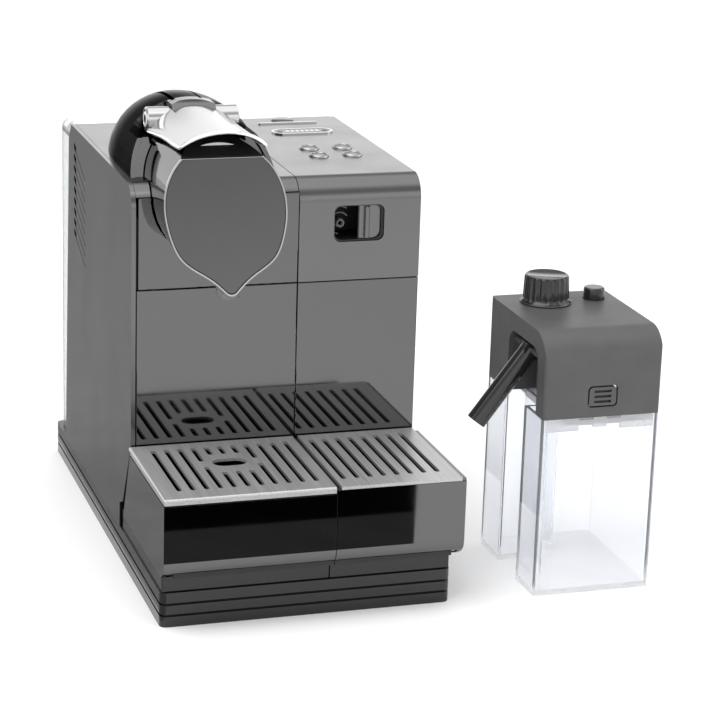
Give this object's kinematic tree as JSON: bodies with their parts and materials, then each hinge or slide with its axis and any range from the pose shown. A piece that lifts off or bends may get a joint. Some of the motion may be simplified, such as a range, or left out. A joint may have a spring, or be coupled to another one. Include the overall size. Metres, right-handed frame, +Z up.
{
  "type": "pod coffee machine",
  "caption": "Compact pod coffee machine with a lever-opened brewing head, capsule drawer, drip trays, rear water tank and a detachable milk frothing jug.",
  "frame": {"origin": "on the table under the machine's base, in the middle of its width and of its overall depth", "axes": "+X to the right seen from the front, -Y out of the front, +Z up"},
  "size_m": [0.2895, 0.321, 0.267],
  "materials": {
    "body_gloss": "smooth pearl grey",
    "body_mirror": "mirror gloss grey",
    "head_gloss": "dark gloss",
    "base_satin": "satin near-black",
    "inner_black": "matte black",
    "chrome": "polished",
    "steel": "satin",
    "aluminium": "cast",
    "rubber": "matte",
    "clear_plastic": "clear moulded plastic",
    "frosted_plastic": "translucent white",
    "jug_grey": "fine matte texture",
    "knob_gloss": "gloss",
    "board_green": "lacquered"
  },
  "bodies": {
    "housing": {"base_pan": "base_satin", "rubber_feet": "rubber", "cable_gland": "rubber", "tray_bed_left": "base_satin", "tray_bed_right": "base_satin", "left_side_panel": "body_gloss", "right_side_panel": "body_gloss", "left_liner": "inner_black", "right_liner": "inner_black", "top_cover_left": "body_gloss", "control_cover": "body_gloss", "fascia_upper_left": "body_mirror", "fascia_lower_right": "body_mirror", "rear_cover": "body_gloss", "centre_wall": "inner_black", "brew_shelf": "inner_black", "head_tube": "head_gloss", "face_bezel": "chrome", "face_plate": "body_gloss", "coffee_spout": "frosted_plastic", "extraction_plate": "steel", "dome_cover": "body_gloss", "lever_bracket": "body_gloss", "steam_port_liner": "inner_black", "steam_nozzle": "steel", "badge_plate": "steel", "control_board": "board_green", "water_pump": "steel", "thermoblock": "aluminium", "feed_hose": "frosted_plastic", "brew_hose": "frosted_plastic", "housing_screws": "steel"},
    "lever": {"lever_handle": "chrome", "lever_pin": "steel"},
    "piston": {"brew_piston": "inner_black"},
    "steam_door": {"steam_door": "body_gloss"},
    "espresso_button": {"espresso_button": "body_gloss"},
    "lungo_button": {"lungo_button": "body_gloss"},
    "cappuccino_button": {"cappuccino_button": "body_gloss"},
    "latte_button": {"latte_button": "body_gloss"},
    "capsule_drawer": {"drip_tray_left": "inner_black", "tray_front_left": "body_mirror", "fascia_lower_left": "body_mirror", "capsule_bin": "inner_black"},
    "left_grid": {"cup_grid_left": "steel"},
    "right_tray": {"drip_tray_right": "inner_black", "tray_front_right": "body_mirror"},
    "right_grid": {"cup_grid_right": "steel"},
    "tank": {"water_tank": "clear_plastic", "tank_valve": "inner_black"},
    "tank_lid": {"tank_lid": "frosted_plastic"},
    "jug": {"jug_container": "clear_plastic"},
    "jug_head": {"jug_head": "jug_grey", "jug_insert": "frosted_plastic", "suction_tube": "frosted_plastic", "steam_connector": "inner_black"},
    "froth_knob": {"froth_knob": "knob_gloss"},
    "clean_button": {"clean_button": "knob_gloss"},
    "release_button": {"release_button": "jug_grey"},
    "milk_spout": {"milk_spout": "knob_gloss"}
  },
  "joints": [
    {"name": "lever_lift", "type": "hinge", "parent": "housing", "child": "lever", "pos_m": [-0.038, -0.017, 0.2565], "axis": [-1, 0, 0], "range_deg": [0, 90]},
    {"name": "piston_slide", "type": "slide", "parent": "housing", "child": "piston", "axis": [0, 1, 0], "range_m": [0, 0.0141]},
    {"name": "steam_door_slide", "type": "slide", "parent": "housing", "child": "steam_door", "axis": [1, 0, 0], "range_m": [-0.0145, 0]},
    {"name": "espresso_press", "type": "slide", "parent": "housing", "child": "espresso_button", "axis": [0, 0, -1], "range_m": [0, 0.001], "stiffness_N_per_m": 300, "springref_m": -0.0005},
    {"name": "lungo_press", "type": "slide", "parent": "housing", "child": "lungo_button", "axis": [0, 0, -1], "range_m": [0, 0.001], "stiffness_N_per_m": 300, "springref_m": -0.0005},
    {"name": "cappuccino_press", "type": "slide", "parent": "housing", "child": "cappuccino_button", "axis": [0, 0, -1], "range_m": [0, 0.001], "stiffness_N_per_m": 300, "springref_m": -0.0005},
    {"name": "latte_press", "type": "slide", "parent": "housing", "child": "latte_button", "axis": [0, 0, -1], "range_m": [0, 0.001], "stiffness_N_per_m": 300, "springref_m": -0.0005},
    {"name": "drawer_slide", "type": "slide", "parent": "housing", "child": "capsule_drawer", "axis": [0, -1, 0], "range_m": [0, 0.13]},
    {"name": "left_grid_lift", "type": "slide", "parent": "capsule_drawer", "child": "left_grid", "axis": [0, 0, 1], "range_m": [0, 0.05]},
    {"name": "right_tray_slide", "type": "slide", "parent": "housing", "child": "right_tray", "axis": [0, -1, 0], "range_m": [0, 0.13]},
    {"name": "right_grid_lift", "type": "slide", "parent": "right_tray", "child": "right_grid", "axis": [0, 0, 1], "range_m": [0, 0.05]},
    {"name": "tank_lift", "type": "slide", "parent": "housing", "child": "tank", "axis": [0, 0, 1], "range_m": [0, 0.22]},
    {"name": "tank_lid_lift", "type": "slide", "parent": "tank", "child": "tank_lid", "axis": [0, 0, 1], "range_m": [0, 0.05]},
    {"name": "jug_lift", "type": "slide", "parent": "housing", "child": "jug", "axis": [0, 0, 1], "range_m": [0, 0.083]},
    {"name": "jug_head_lift", "type": "slide", "parent": "jug", "child": "jug_head", "axis": [0, 0, 1], "range_m": [0, 0.12]},
    {"name": "froth_knob_turn", "type": "hinge", "parent": "jug_head", "child": "froth_knob", "pos_m": [0.1595, -0.08, 0.154], "axis": [0, 0, 1], "range_deg": [-90, 90]},
    {"name": "clean_press", "type": "slide", "parent": "jug_head", "child": "clean_button", "axis": [0, 0, -1], "range_m": [0, 0.002], "stiffness_N_per_m": 300, "springref_m": -0.0005},
    {"name": "release_press", "type": "slide", "parent": "jug_head", "child": "release_button", "axis": [0, 1, 0], "range_m": [0, 0.0015], "stiffness_N_per_m": 300, "springref_m": -0.0005},
    {"name": "milk_spout_swing", "type": "hinge", "parent": "jug_head", "child": "milk_spout", "pos_m": [0.138, -0.114, 0.137], "axis": [0, 1, 0], "range_deg": [-37, 20]}
  ],
  "couplings": [
    {"joint": "piston_slide", "follows": "lever_lift", "m_per_rad": 0.0089127}
  ]
}
